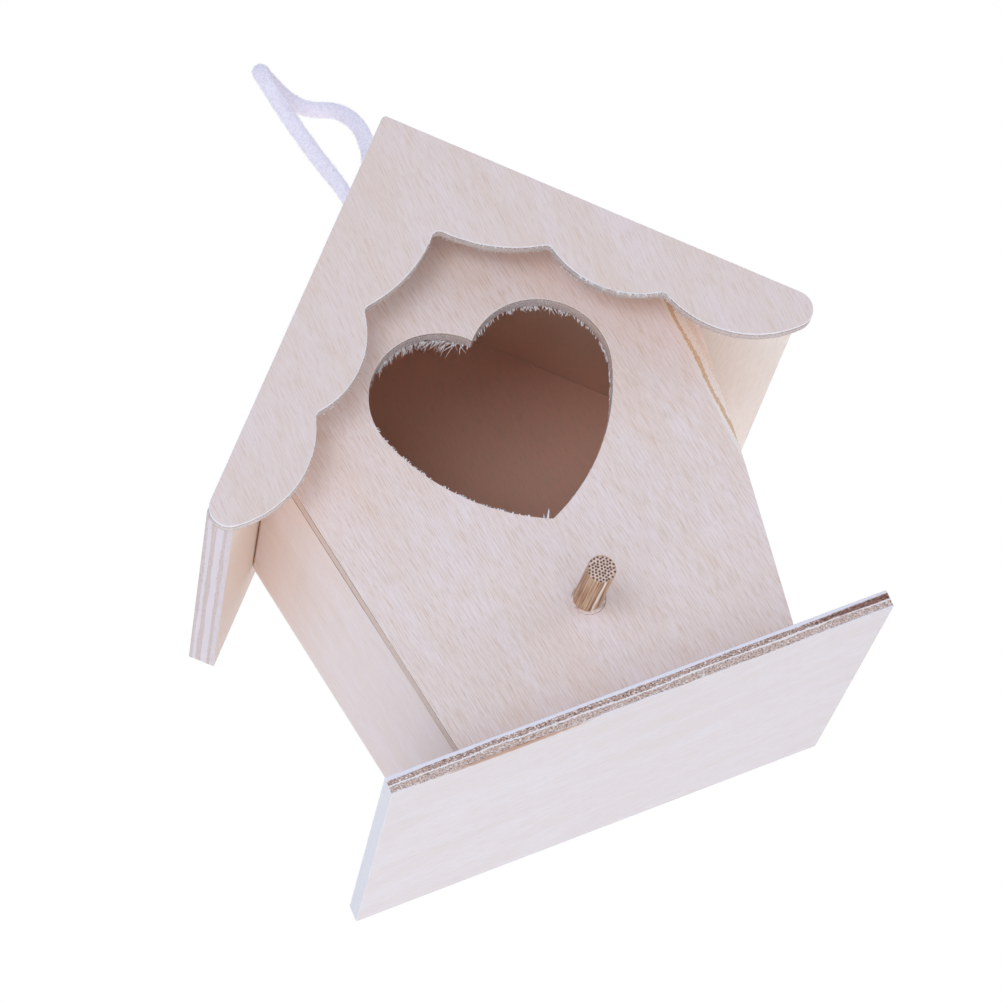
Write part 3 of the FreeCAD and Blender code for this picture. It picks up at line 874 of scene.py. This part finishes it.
@dataclass
class HangingCord:
    """The cord loop, brushed along its whole length, and the knot that stops it in the roof.

    Attributes:
        diameter: in metres.
        length: in metres, from the knot round the loop and back.
        exit: where it comes out of the ridge.
        route: the control points of its smooth line, in metres.
        strands: lumps round the cord where its braid shows.
        pitch: between two crossings of the braid, in metres.
        swell: how much fuller it is than at its ends, as a share of its radius.
        nap_hairs: how many short hairs stand on it.
    """

    diameter: float = 2.3 * MM
    length: float = 0.110
    exit: Place = (-0.00125, -0.00125, 0.116)
    route: tuple[Place, ...] = (
        (-0.00125, -0.00125, 0.10574),
        (-0.00125, -0.00125, 0.1172),
        (-0.0043, 0.00075, 0.1322),
        (-0.0054, 0.00275, 0.1424),
        (-0.0062, 0.00495, 0.1537),
        (-0.0031, 0.01295, 0.1533),
        (-0.0001, 0.01205, 0.1453),
        (0.0066, 0.00755, 0.1407),
        (0.0072, 0.00185, 0.1306),
        (0.00125, -0.00125, 0.1172),
        (0.00125, -0.00125, 0.10574),
    )
    strands: int = 4
    pitch: float = 2.6 * MM
    swell: float = 0.24
    nap_hairs: int = 10000

    def build(self, material: bpy.types.Material) -> None:
        """Args:
            material: the brushed cotton.
        """
        line = self._smooth_line()
        cord = self._braid(line).piece("hanging_cord_braid", material, "cotton_cord")
        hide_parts("hanging_cord")
        nap = self._nap(line).piece("hanging_cord_nap", material, "cotton_cord")
        knot = self._knot().piece("cord_knot_tied", material, "cotton_cord")
        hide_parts("cord_knot")
        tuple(self.exit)
        [tuple(point) for point in line]

    def _smooth_line(self) -> list[Vector]:
        """Reads the cord's smooth line from the route's spline.

        Returns:
            Points along the line.
        """
        data = bpy.data.curves.new("cord_line", "CURVE")
        data.dimensions = "3D"
        spline = data.splines.new("NURBS")
        spline.points.add(len(self.route) - 1)
        for point, place in zip(spline.points, self.route):
            point.co = (*place, 1.0)
        spline.order_u = 3
        spline.use_endpoint_u = True
        spline.resolution_u = 24
        guide = bpy.data.objects.new("cord_line", data)
        mesh = bpy.data.meshes.new_from_object(guide)
        line = [corner.co.copy() for corner in mesh.vertices]
        bpy.data.objects.remove(guide)
        bpy.data.meshes.remove(mesh)
        return line

    def _swell(self, share: float) -> float:
        """How much fuller the cord is at a share of its length than at its two ends."""
        return self.swell * min(1.0, 8 * share, 8 * (1 - share))

    def _braid(self, line: Sequence[Vector]) -> MeshDraft:
        """The cord's body, with the shallow lumps of a soft braid.

        Args:
            line: the cord's smooth line.

        Returns:
            The body.
        """

        def reach(share: float, angle: float) -> float:
            """The radius at a share of the length and an angle round the cord."""
            turn = TURN * share * self.length / self.pitch / self.strands
            lumps = math.cos(self.strands * (angle + turn)) * math.cos(self.strands * (angle - turn))
            uneven = noise.noise(Vector((share * 38, math.cos(angle), math.sin(angle))))
            fuller = 1.04 + self._swell(share) + 0.03 * lumps + 0.09 * uneven
            return self.diameter / 2 * fuller

        draft = MeshDraft()
        draft.add_tube(line, reach, 32)
        return draft

    def _nap(self, line: Sequence[Vector]) -> MeshDraft:
        """The short brushed hairs that blur the cord's outline.

        Args:
            line: the cord's smooth line.

        Returns:
            The hairs.
        """
        rng = random.Random(11)
        draft = MeshDraft()
        for _ in range(self.nap_hairs):
            index = rng.randrange(1, len(line) - 1)
            tangent = (line[index + 1] - line[index - 1]).normalized()
            side = tangent.orthogonal().normalized()
            turned = Matrix.Rotation(rng.uniform(0, TURN), 3, tangent) @ side
            share = index / len(line)
            inner = self.diameter / 2 * (0.94 + self._swell(share))
            root = line[index].lerp(line[index + 1], rng.random()) + turned * inner
            length = rng.uniform(0.20, 0.55) * MM
            way = (turned + tangent * rng.uniform(-0.9, 0.9)).normalized() * length
            bend = scattered(rng, 0.4) * length
            draft.add_fibre(root, way, bend, rng.uniform(0.03, 0.05) * MM, 2)
        return draft

    def _knot(self) -> MeshDraft:
        """Ties both ends into one overhand knot, with two cut tails.

        Returns:
            The knot.
        """
        low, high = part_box("cord_knot")
        size = (high.x - low.x) / 2
        middle = Vector(((low.x + high.x) / 2, (low.y + high.y) / 2, high.z - 0.72 * size))
        thick = 0.27 * size
        steps = 96
        loop = []
        for step in range(steps + 1):
            a = TURN * step / steps
            x, y = math.sin(a) + 2 * math.sin(2 * a), math.cos(a) - 2 * math.cos(2 * a)
            loop.append(middle + Vector((x, y, -1.25 * math.sin(3 * a))) * (size - thick) / 3)
        draft = MeshDraft()
        draft.add_tube(loop, lambda t, a: thick, 20)
        for sign, drop in ((-1, 0.0), (1, 1.4 * MM)):
            top = middle + RIGHT * sign * 0.34 * size
            bottom = Vector((top.x + sign * 0.2 * size, top.y, low.z + 1.4 * MM - drop))
            tail = [top.lerp(bottom, t / 8) for t in range(9)]
            draft.add_tube(tail, lambda t, a: thick * (1 + 0.15 * t**4), 20)
        return draft


@dataclass
class Perch:
    """The bamboo rod, with its fibre bundles, a split along it and a rough saw cut.

    Attributes:
        split_way: the side of the rod that the split runs along.
        bundle_gap: between fibre bundles in the end, in metres.
        bundle_radius: in metres.
        pit_depth: how far a bundle is sunk in the sawn end, in millimetres.
        narrowed: how much narrower the sawn end is, as a share of the radius.
        sides: corners round the rod.
        collar: how far the drilled hole reaches past the rod at its widest, in metres.
        collar_way: the side where it does.
    """

    split_way: Vector = Vector((-0.26, 0.0, -0.965))
    bundle_gap: float = 0.60 * MM
    bundle_radius: float = 0.24 * MM
    pit_depth: float = 0.12
    narrowed: float = 0.035
    sides: int = 160
    collar: float = 0.42 * MM
    collar_way: Vector = Vector((0.72, 0.0, -0.69))

    def build(self, torn: bpy.types.Material) -> None:
        """Makes the rod, the torn ply round it and the fibres where it enters the house.

        Args:
            torn: the torn fibre.
        """
        inner, outer, radius = self._measure()
        axis = (outer - inner).normalized()
        material = SplitBamboo("split bamboo rod", axis).material()
        rod = self._rod(inner, outer, radius, material)
        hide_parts("perch")
        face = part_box("front_panel")[0].y
        root = outer + axis * ((face - outer.y) / axis.y)
        self._torn_root(root, axis, radius).piece("perch_torn_root", torn, "front_plywood")
        collar, rim = self._collar(root, radius)
        glued = TornFibre("glued basswood fibre", "#ead5c8", "#cdb09d").material()
        collar.piece("perch_hole_collar", glued, "front_plywood")
        scorched = TornFibre("drilled basswood rim", "#c39c82", "#9c7358").material()
        rim.piece("perch_hole_rim", scorched, "front_plywood")

    def _measure(self) -> tuple[Vector, Vector, float]:
        """Measures the rod in the frame.

        Returns:
            The middles of its inner and outer ends, and its radius.
        """
        low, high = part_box("perch")
        margin = 0.4 * MM
        front = node_corners("perch", lambda p: p.y < low.y + margin)
        rear = node_corners("perch", lambda p: p.y > high.y - margin)
        middles = [sum(points, Vector()) / len(points) for points in (rear, front)]
        return middles[0], middles[1], (high.x - low.x) / 2

    def _rod(
        self, inner: Vector, outer: Vector, radius: float, material: bpy.types.Material
    ) -> bpy.types.Object:
        """Builds the rod.

        Args:
            inner: the middle of its end inside the house.
            outer: the middle of its free end.
            radius: in metres.
            material: the bamboo.

        Returns:
            The rod.
        """
        axis = (outer - inner).normalized()
        side = (self.split_way - axis * self.split_way.dot(axis)).normalized()
        other = axis.cross(side)
        bundles = self._bundles(radius)
        draft = MeshDraft()
        shares: dict[str, list[float]] = {"bundle": [], "sawn_end": [], "peeled_and_highlight": [], "groove": []}
        length = (outer - inner).length
        # Rings from the middle of one end, along the rod and to the middle of the other.
        cap_rings, body_rings, eased = 44, 60, 0.1 * MM
        widest = radius * (1 - self.narrowed)
        cap = [widest * k / cap_rings for k in range(1, cap_rings + 1)]
        body = [eased + (length - 2 * eased) * k / body_rings for k in range(body_rings + 1)]
        rings = [(reach, 0.0, True) for reach in cap]
        rings += [(radius, along, False) for along in body]
        rings += [(reach, length, True) for reach in reversed(cap)]
        for reach, along, sawn in rings:
            for step in range(self.sides):
                angle = TURN * step / self.sides
                flat = Vector((reach * math.cos(angle), reach * math.sin(angle)))
                pit = self._pit_depth(flat, bundles) if sawn and along else 0.0
                relief, peeled_and_highlight, groove = (0.0, 0.0, 0.0) if sawn else self._side(angle, along)
                outward = side * math.cos(angle) + other * math.sin(angle)
                sunk = along - pit * self.pit_depth * MM
                place = inner + axis * sunk + outward * (reach + relief)
                draft.corners.append(place)
                rough = 0.90 if reach < radius - 0.30 * MM else 0.30
                for name, value in zip(shares, (pit, rough if sawn else 0.0, peeled_and_highlight, groove)):
                    shares[name].append(value)
        draft.skin_rings(0, len(rings), self.sides)
        rod = draft.piece("perch_rod", material, "bamboo")
        for name, values in shares.items():
            rod.data.attributes.new(name, "FLOAT", "POINT").data.foreach_set("value", values)
        return rod

    def _bundles(self, radius: float) -> list[Vector]:
        """Places the dark fibre bundles in the rod's end.

        Args:
            radius: the rod's, in metres.

        Returns:
            Where each comes out, in the end's own plane.
        """
        rng = random.Random(5)
        found = []
        rows = int(radius / self.bundle_gap) + 2
        for row in range(-rows, rows + 1):
            for column in range(-rows, rows + 1):
                shift = 0.5 * (row % 2)
                spot = Vector(((column + shift), row * 0.87)) * self.bundle_gap
                spot += Vector((rng.uniform(-1, 1), rng.uniform(-1, 1))) * 0.16 * self.bundle_gap
                if spot.length < radius - 0.25 * MM:
                    found.append(spot)
        return found

    def _pit_depth(self, flat: Vector, bundles: Sequence[Vector]) -> float:
        """How deep the end is sunk at a place, from 0 to 1, over the nearest bundle."""
        nearest = min((flat - spot).length for spot in bundles)
        return max(0.0, 1.0 - (nearest / self.bundle_radius) ** 2) ** 0.5

    def _side(self, angle: float, along: float) -> tuple[float, float, float]:
        """The rod's side at one place.

        Args:
            angle: round the rod from the split.
            along: from the rod's inner end, in metres.

        Returns:
            Its height in metres, how far peeled pale and painted with a highlight, and how far a
            dark groove.
        """
        fine = noise.noise(Vector((9 * math.cos(angle), 9 * math.sin(angle), along / (9 * MM))))
        off = math.atan2(math.sin(angle), math.cos(angle))
        wander = 0.05 * noise.noise(Vector((along / (5 * MM), 0.0, 3.0)))
        groove = math.exp(-(((off - wander) / 0.05) ** 2))
        # Beside the split a pale strip: a peeled fibre, with a painted highlight along the split's
        # edge.
        peeled_and_highlight = math.exp(-(((off - 0.16 - wander) / 0.085) ** 4))
        deep = 0.20 * groove + 0.05 * peeled_and_highlight
        return (0.03 * fine - 0.03 - deep) * MM, 0.9 * peeled_and_highlight, 0.8 * groove

    def _outward(self, angle: float) -> Vector:
        """Unit vector away from the hole in the front's plane, at an angle from collar_way."""
        way = self.collar_way.normalized()
        return way * math.cos(angle) + way.cross(BACK) * math.sin(angle)

    def _collar(self, root: Vector, radius: float) -> tuple[MeshDraft, MeshDraft]:
        """The ply torn and filled with glue round the rod, and the scorched rim of its hole.

        Args:
            root: where the rod's middle line meets the front face.
            radius: the rod's, in metres.

        Returns:
            The collar and the rim.
        """
        collar, rim_line = MeshDraft(), []
        for step in range(self.sides):
            angle = TURN * step / self.sides
            outward = self._outward(angle)
            ragged = 1 + 0.10 * noise.noise(outward * 4.0)
            reach = self.collar * (0.5 + 0.5 * math.cos(angle)) * ragged
            edge = root + outward * (radius + 0.30 * MM + reach)
            for share, proud in ((0.0, 0.02), (0.5, 0.07), (1.0, -0.02)):
                inner = root + outward * (radius - 0.10 * MM)
                bump = proud + 0.03 * noise.noise(outward * 9.0 + UP * share * 3.0)
                collar.corners.append(inner.lerp(edge, share) - BACK * bump * MM)
            if abs(angle - math.pi) > 1.25:
                rim_line.append((angle if angle < math.pi else angle - TURN, edge))
        for step in range(self.sides):
            following = (step + 1) % self.sides
            for part in range(2):
                a, b = step * 3 + part, following * 3 + part
                collar.faces.append((a, a + 1, b + 1, b))
        rim = MeshDraft()
        places = [place for _, place in sorted(rim_line, key=lambda item: item[0])]
        rim.add_tube(places, lambda t, a: 0.05 * MM * math.sin(math.pi * t) ** 0.5 + 0.004 * MM, 6)
        return collar, rim

    def _torn_root(self, root: Vector, axis: Vector, radius: float) -> MeshDraft:
        """Short fibres torn up round the lower side of the rod where it meets the house.

        Args:
            root: where the rod's middle line meets the front face.
            axis: unit vector out of the house along the rod.
            radius: the rod's, in metres.

        Returns:
            The fibres.
        """
        rng = random.Random(3)
        draft = MeshDraft()
        for _ in range(36):
            angle = rng.gauss(0, math.radians(48))
            outward = self._outward(angle)
            past = rng.uniform(-0.05, 0.8) * self.collar * (0.5 + 0.5 * math.cos(angle))
            start = root + outward * (radius + past)
            length = rng.uniform(0.2, 0.6) * MM
            aim = (axis * rng.uniform(0.3, 0.9) + outward * rng.uniform(-0.4, 0.6)) * length
            bend = scattered(rng, 0.3) * length
            draft.add_fibre(start, aim, bend, rng.uniform(0.07, 0.16) * MM)
        return draft


class Sawn(Enum):
    """Where on a sawn edge the fibres are torn."""

    FRONT = "front"
    WALL = "wall"
    REAR = "rear"


@dataclass(frozen=True)
class FuzzRun:
    """A stretch of a sawn edge with torn fibres.

    Attributes:
        start, end: the stretch, as shares of the edge's line.
        face: where on the edge they hang.
        per_mm: fibres for each millimetre of edge.
        length: shortest and longest, in millimetres.
        thick: thinnest and thickest, in millimetres.
        droop: how far a tip is pulled along the edge, as a share of its length.
        hang: the way that they are combed, or None for straight into the gap.
    """

    start: float
    end: float
    face: Sawn
    per_mm: float
    length: tuple[float, float]
    thick: tuple[float, float] = (0.07, 0.16)
    droop: float = 0.3
    hang: Place | None = None


@dataclass(frozen=True)
class Splinter:
    """One thick splinter on a sawn edge.

    Attributes:
        root, way: where it starts and how far it reaches, in millimetres.
        thick: in millimetres.
    """

    root: Place
    way: Place
    thick: float


@dataclass
class SawnEdge:
    """A fretsawn edge of a board, and the fibres left hanging on it.

    Attributes:
        name: the fibres' piece name.
        node: the frame node that was sawn.
        slot: the record's material slot of that board.
        line: corners along the edge, in order, at the board's front face.
        into: a unit vector from each corner of the line into the gap.
        runs: the stretches with fibres.
        seed: for the fibres' places.
        splinters: thick ones, each placed one by one.
    """

    name: str
    node: str
    slot: str
    line: list[Vector]
    into: Callable[[Vector, Vector], Vector]
    runs: tuple[FuzzRun, ...]
    seed: int
    splinters: tuple[Splinter, ...] = ()

    def build(self, material: bpy.types.Material) -> None:
        """Makes the fibres.

        Args:
            material: the torn fibre.
        """
        rng = random.Random(self.seed)
        draft = MeshDraft()
        for run in self.runs:
            for spot, tangent in self._spots(run, rng):
                way = self.into(spot, tangent)
                root = Vector((spot.x, self._depth(run.face, rng), spot.z)) - way * 0.08 * MM
                if run.hang:
                    way = (way * 0.35 + Vector(run.hang)).normalized()
                length = rng.uniform(*run.length) * MM
                outward = BACK * rng.uniform(-0.5, 0.35)
                lean = tangent * rng.gauss(0, 0.25)
                bend = (tangent * rng.gauss(0, run.droop) - UP * 0.15) * length
                aim = (way + lean + outward).normalized() * length
                draft.add_fibre(root, aim, bend, rng.uniform(*run.thick) * MM)
        for splinter in self.splinters:
            way = Vector(splinter.way) * MM
            bend = way.cross(BACK) * 0.12
            draft.add_fibre(Vector(splinter.root) * MM, way, bend, splinter.thick * MM, 6)
        draft.piece(self.name, material, self.slot)

    def _depth(self, face: Sawn, rng: random.Random) -> float:
        """Chooses where through the board a fibre grows.

        Args:
            face: where on the edge it hangs.
            rng: the edge's own chance.

        Returns:
            Its Y, in metres.
        """
        low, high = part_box(self.node)
        margin = 0.12 * MM
        if face is Sawn.FRONT:
            return low.y + margin
        return high.y - margin if face is Sawn.REAR else rng.uniform(low.y, high.y)

    def _spots(self, run: FuzzRun, rng: random.Random) -> Iterator[tuple[Vector, Vector]]:
        """Chooses places along a stretch of the edge.

        Args:
            run: the stretch.
            rng: the edge's own chance.

        Returns:
            Each place, with the edge's direction there.
        """
        lengths = [(b - a).length for a, b in zip(self.line, self.line[1:])]
        total = sum(lengths)
        count = int((run.end - run.start) * total / MM * run.per_mm)
        for _ in range(count):
            left = rng.uniform(run.start, run.end) * total
            for start, end, length in zip(self.line, self.line[1:], lengths):
                if left <= length:
                    yield start.lerp(end, left / length), (end - start).normalized()
                    break
                left -= length


@dataclass
class Boards:
    """All eight boards: their timber, and the fibres on their sawn edges.

    Attributes:
        bevel: how far their edges are sanded back, in metres.
    """

    bevel: float = 0.13 * MM

    def build(self, torn: bpy.types.Material) -> None:
        """Dresses each board and adds the torn fibres.

        Args:
            torn: the torn fibre.
        """
        for node, finish in self._finishes().items():
            material = finish.material()
            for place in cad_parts[node].material_slots:
                place.material = material
            self._ease_edges(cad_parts[node])
            log.info("%s: %s", node, material.name)
        for edge in (self._heart_edge(), self._scallop_edge()):
            edge.build(torn)
        glue = TornFibre("dried wood glue", "#e2b48c", "#c08a60").material()
        for side in ("left", "right"):
            self._eave_joint(side).piece(f"eave_joint_{side}", glue, "wall_plywood")

    def _thin_plies(self) -> tuple[Ply, ...]:
        """Three veneers, 3.2 mm in all, for the front, the back and the walls.

        Returns:
            The plies, with the glue lines between them.
        """
        tan, line = Cut("#d6baa8", 0.12), Cut("#a98169", 0.20)
        velvet, dusk = Cut("#cdbab6", 0.45), Cut("#c5afaa", 0.50)
        sanded = Cut("#eedccf")
        return (
            Ply(0.28, line, Cut("#eaddd6"), sanded),
            Ply(0.32, tan, Cut("#936f60", 0.5), Cut("#dab28d", 0.20)),
            Ply(0.52, tan, velvet, Cut("#f0dccc", 0.15)),
            Ply(0.50, tan, dusk, Cut("#ecd2bd", 0.15)),
            Ply(1.27, tan, velvet, sanded),
            Ply(0.30, line, dusk, sanded),
        )

    def _gable_plies(self) -> tuple[Ply, ...]:
        """The veneers of the thin gable board, which its scallops cut at every angle.

        Returns:
            The plies.
        """
        return (
            Ply.alike(0.30, Cut("#f0e6e2")),
            Ply.alike(0.30, Cut("#b99e92", 0.45)),
            Ply.alike(1.40, Cut("#d6c4ba", 0.35)),
            Ply.alike(0.30, Cut("#c6b0a6", 0.25)),
        )

    def _floor_plies(self) -> tuple[Ply, ...]:
        """The floor's veneers, whose short edges look almost plain.

        Returns:
            The plies, from the floor's underside up.
        """
        plain, veneer = Cut("#ece2dc", 0.05), Cut("#e2d8d8")
        return (
            Ply(0.22, veneer, plain, veneer),
            Ply(1.15, Cut("#c8a896", 0.65), plain, veneer),
            Ply(0.28, Cut("#e8dcd6", 0.10), plain, veneer),
            Ply(0.90, Cut("#b38f7c", 0.80), plain, veneer),
            Ply(0.65, veneer, plain, veneer),
        )

    def _roof_plies(self) -> tuple[Ply, ...]:
        """The thicker roof's veneers.

        Returns:
            The plies, from the roof's outer face down.
        """
        white, pink = Cut("#ddcdca"), Cut("#d1bab1", 0.22)
        return (
            Ply.alike(0.70, Cut("#d2bdb6", 0.25)),
            Ply.alike(0.60, white),
            Ply.alike(0.85, pink),
            Ply.alike(1.20, white),
            Ply.alike(0.70, pink),
            Ply.alike(0.95, Cut("#d9c8c4", 0.08)),
        )

    def _finishes(self) -> dict[str, BasswoodPlywood]:
        """Chooses each board's timber.

        Returns:
            A finish for each node.
        """
        thin, thick = self._thin_plies(), self._roof_plies()
        heartwood = StainAndShade((46.0, -37.1, 2.15), (15.0, 3.0, 0.55), "#ab857a", 0.85)
        resin = StainAndShade((-24.0, -37.0, 0.05), (13.0, 0.9, 0.30), "#cf9a68", 0.75)
        front_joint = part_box("front_panel")[1].y / MM
        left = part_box("left_wall")[0].x / MM
        # Painted shade: a thin dark line on the left wall's front edge, where the front panel meets
        # it, for the shadow in that joint.
        joint = StainAndShade((left, front_joint, 52.0), (6.0, 0.22, 90.0), "#a5785c", 0.9)
        floor_tones = {"pale": "#e3d7d4", "warm": "#e0d2cc", "inside": "#ece0da", "streaks": 0.45}
        floor_tones["stains_and_shade"] = (heartwood, resin)
        wall_tones = {"pale": "#efdbd2", "warm": "#ecd5c7", "streaks": 0.5, "stains_and_shade": (joint,)}
        left_tones = {"inside": "#efdac9", "indoor_shade": "#f2c6aa", "streaks": 0.2}
        # The right roof's inner face is painted lighter than the left roof's: painted light under
        # its eave.
        right_tones = {"inside": "#fff3e6", "indoor_shade": "#f2c6aa", "streaks": 0.2}
        gable_tones = {"pale": "#e7d2c9", "warm": "#e4ccbe", "streaks": 0.75}
        boards = (
            ("base_board", "floor", RIGHT, -11.0, self._floor_plies(), floor_tones),
            ("front_panel", "front", UP, -7.4, thin, {}),
            ("back_panel", "back", UP, 3.0, thin, {}),
            ("left_wall", "left wall", UP, 2.0, thin, wall_tones),
            ("right_wall", "right wall", UP, -2.0, thin, {}),
            ("left_roof_panel", "left roof", BACK, 2.0, thick, left_tones),
            ("right_roof_panel", "right roof", BACK, -2.0, thick, right_tones),
            ("gable_board", "gable", UP, -1.2, self._gable_plies(), gable_tones),
        )
        finishes = {}
        for node, word, lengthwise, tilt, plies, tones in boards:
            axes = BoardAxes.of_node(node, lengthwise, tilt)
            finishes[node] = BasswoodPlywood(f"basswood plywood {word}", axes, plies, **tones)
        return finishes

    def _ease_edges(self, board: bpy.types.Object) -> None:
        """Takes the sharpness off a board's edges, as fine sandpaper does.

        Args:
            board: the frame node's object.
        """
        weld = board.modifiers.new("weld", "WELD")
        weld.merge_threshold = 0.001 * MM
        # Each flat face becomes one face, so that the softened edges leave no creases on it.
        flat = board.modifiers.new("flat faces", "DECIMATE")
        flat.decimate_type = "DISSOLVE"
        flat.angle_limit = math.radians(0.5)
        ease = board.modifiers.new("sanded edges", "BEVEL")
        ease.width = self.bevel
        ease.segments = 2
        ease.limit_method = "ANGLE"
        ease.angle_limit = math.radians(35)
        ease.harden_normals = True

    def _eave_joint(self, side: str) -> MeshDraft:
        """The bead of dried glue between a wall's upper edge and the roof.

        Args:
            side: "left" or "right".

        Returns:
            The bead.
        """
        low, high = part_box(f"{side}_wall")
        edge, inset = (low.x, 0.20 * MM) if side == "left" else (high.x, -0.20 * MM)
        top = max(p.z for p in node_corners(f"{side}_wall", lambda p: abs(p.x - edge) < 0.01 * MM))
        start = Vector((edge + inset, low.y + 0.3 * MM, top + 0.22 * MM))
        end = Vector((edge + inset, high.y - 0.3 * MM, top + 0.22 * MM))

        def reach(share: float, angle: float) -> float:
            """The bead's uneven radius at a share of its length and an angle round it."""
            return (0.22 + 0.07 * noise.noise(Vector((share * 40, angle, 2.0)))) * MM

        draft = MeshDraft()
        draft.add_tube([start.lerp(end, step / 120) for step in range(121)], reach, 8)
        return draft

    def _heart_edge(self) -> SawnEdge:
        """The entrance, sawn from the front, so that most fibres hang at the rear.

        Returns:
            The edge.
        """
        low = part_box("front_panel")[0]
        half_width, foot, top = 24 * MM, 33 * MM, 78 * MM

        def in_heart(place: Vector) -> bool:
            """Whether a corner is on the heart's front rim."""
            tall = foot < place.z - low.z < top
            return abs(place.x) < half_width and tall and abs(place.y - low.y) < 0.1 * MM

        rim = node_corners("front_panel", in_heart)
        middle = sum(rim, Vector()) / len(rim)
        rim.sort(key=lambda p: math.atan2(p.x - middle.x, p.z - middle.z))
        rim.append(rim[0])

        def into(spot: Vector, tangent: Vector) -> Vector:
            """Across the edge, towards the heart's middle."""
            across = tangent.cross(BACK).normalized()
            return across if across.dot(middle - spot) > 0 else -across

        down, combed, along = (-0.45, 0.0, -0.89), (-0.75, 0.0, -0.65), (-3.0, 0.0, -0.2)
        runs = (
            FuzzRun(0.28, 0.36, Sawn.REAR, 3.0, (0.2, 0.5), (0.10, 0.20)),
            FuzzRun(0.36, 0.82, Sawn.REAR, 3.5, (0.35, 0.95), (0.20, 0.38), 0.2, down),
            FuzzRun(0.36, 0.49, Sawn.REAR, 4.5, (0.8, 1.9), (0.12, 0.24), 0.3, combed),
            FuzzRun(0.445, 0.485, Sawn.REAR, 3.0, (2.6, 4.0), (0.18, 0.32), 0.1, along),
            FuzzRun(0.53, 0.66, Sawn.REAR, 1.6, (0.6, 1.3), (0.16, 0.30), 0.3, down),
            FuzzRun(0.36, 0.98, Sawn.WALL, 6.0, (0.12, 0.32), (0.05, 0.10), 0.4),
            FuzzRun(0.03, 0.27, Sawn.FRONT, 2.2, (0.30, 0.55), (0.30, 0.45), 0.05),
            FuzzRun(0.78, 0.99, Sawn.FRONT, 3.0, (0.10, 0.28), (0.05, 0.10), 0.3),
        )
        front = low.y / MM
        splinters = (
            Splinter((-0.7, front + 0.15, 38.3), (1.25, -0.25, 1.65), 0.75),
            Splinter((-1.2, front + 0.20, 38.5), (0.5, -0.25, 1.1), 0.50),
        )
        board = ("heart_torn_fibres", "front_panel", "front_plywood")
        return SawnEdge(*board, rim, into, runs, 21, splinters)

    def _scallop_edge(self) -> SawnEdge:
        """The gable board's lower edge.

        Returns:
            The edge.
        """
        low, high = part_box("gable_board")
        slope = BoardAxes.of_node("right_roof_panel", BACK).inward
        fall = slope.x / slope.z

        def in_scallops(place: Vector) -> bool:
            """Whether a corner is on the scalloped edge, at the front face."""
            under = high.z - abs(place.x) * fall - place.z
            return under > 8 * MM and abs(place.x) < 50 * MM and place.y < low.y + 0.1 * MM

        rim = node_corners("gable_board", in_scallops)
        rim.sort(key=lambda p: p.x)

        def into(spot: Vector, tangent: Vector) -> Vector:
            """Across the edge, away from the board."""
            across = tangent.cross(BACK).normalized()
            return across if across.z < 0 else -across

        runs = (
            FuzzRun(0.05, 0.50, Sawn.FRONT, 1.6, (0.12, 0.30), (0.12, 0.22)),
            FuzzRun(0.50, 0.66, Sawn.FRONT, 3.0, (0.20, 0.45), (0.14, 0.26)),
            FuzzRun(0.71, 0.84, Sawn.FRONT, 6.5, (0.3, 0.75), (0.18, 0.32)),
            FuzzRun(0.05, 0.95, Sawn.REAR, 1.6, (0.2, 0.5), (0.14, 0.26)),
        )
        return SawnEdge("scallop_torn_fibres", "gable_board", "gable_plywood", rim, into, runs, 22)


def main() -> None:
    """Builds the picture: the camera and the cord first, then the boards and the perch."""
    logging.basicConfig(level=logging.INFO, format="%(name)s: %(message)s")
    StudioCamera().build()
    HangingCord().build(BrushedCotton().material())
    torn = TornFibre().material()
    Boards().build(torn)
    Perch().build(torn)
    Studio().build()


if __name__ == "__main__":
    main()
